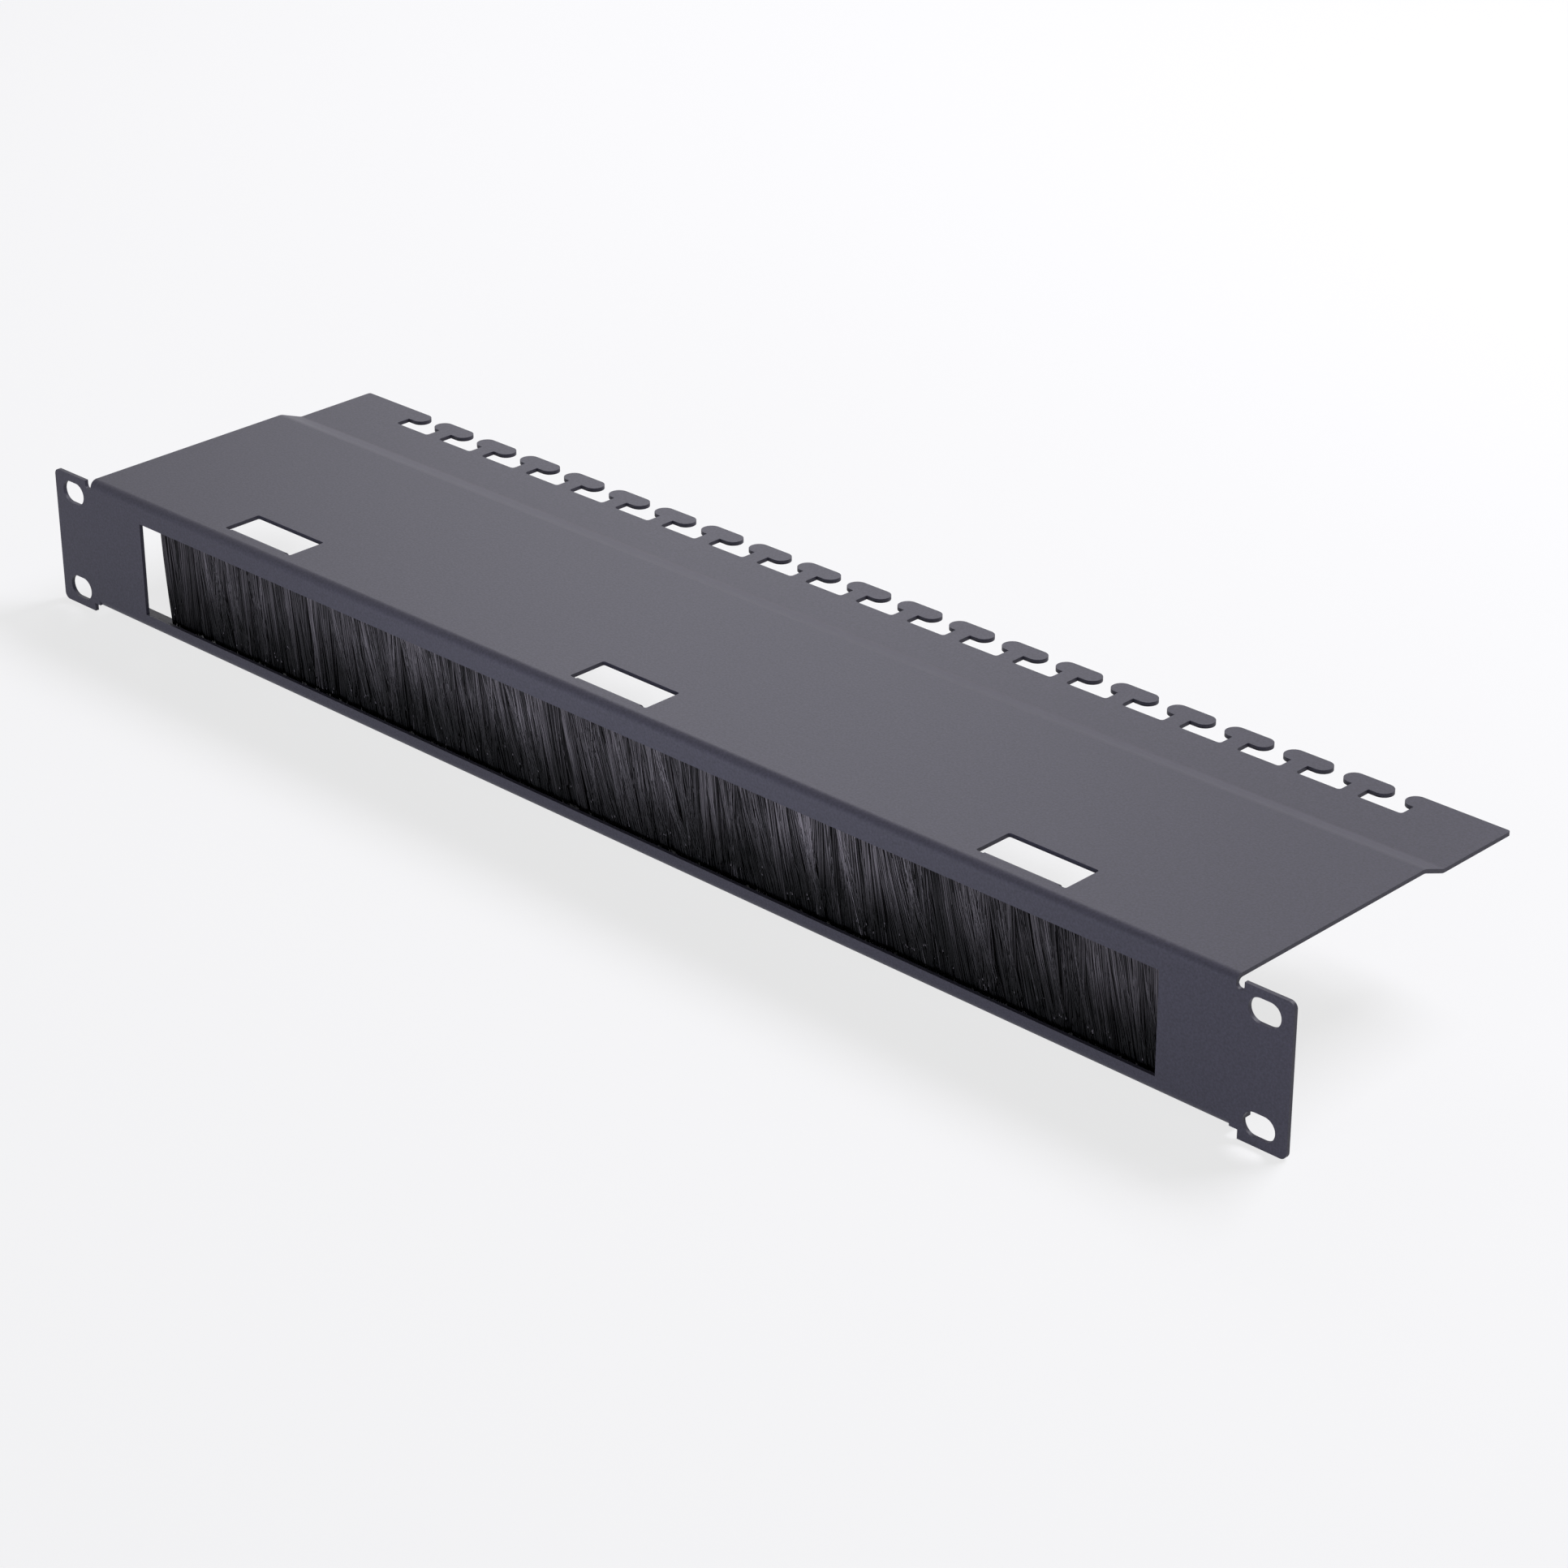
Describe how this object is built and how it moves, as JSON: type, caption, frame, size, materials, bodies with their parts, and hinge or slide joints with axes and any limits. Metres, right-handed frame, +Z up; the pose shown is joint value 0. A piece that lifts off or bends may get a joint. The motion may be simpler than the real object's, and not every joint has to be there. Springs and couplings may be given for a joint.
{
  "type": "rack cable entry panel",
  "caption": "One-unit rack panel with a brush-filled cable window, a deep cable shelf behind it and a lacing comb along the shelf's rear edge.",
  "frame": {"origin": "centre of the rack-hole pattern, on the rear face of the ears", "axes": "+X along the panel to its right end as seen from the front, +Y to the rear, towards the rack rails and the shelf's lacing comb, +Z up, towards the shelf"},
  "size_m": [0.4826, 0.1125, 0.0443],
  "materials": {
    "powder_coat": "matte, fine grain",
    "channel_metal": "galvanised, satin",
    "core_wire": "satin",
    "bristle_black": "matte",
    "screw_steel": "zinc plated, satin"
  },
  "bodies": {
    "root": {"panel": "powder_coat", "brush_channel": "channel_metal", "brush_core_wire": "core_wire", "bristles": "bristle_black", "screw_left": "screw_steel", "screw_middle": "screw_steel", "screw_right": "screw_steel"}
  },
  "joints": []
}
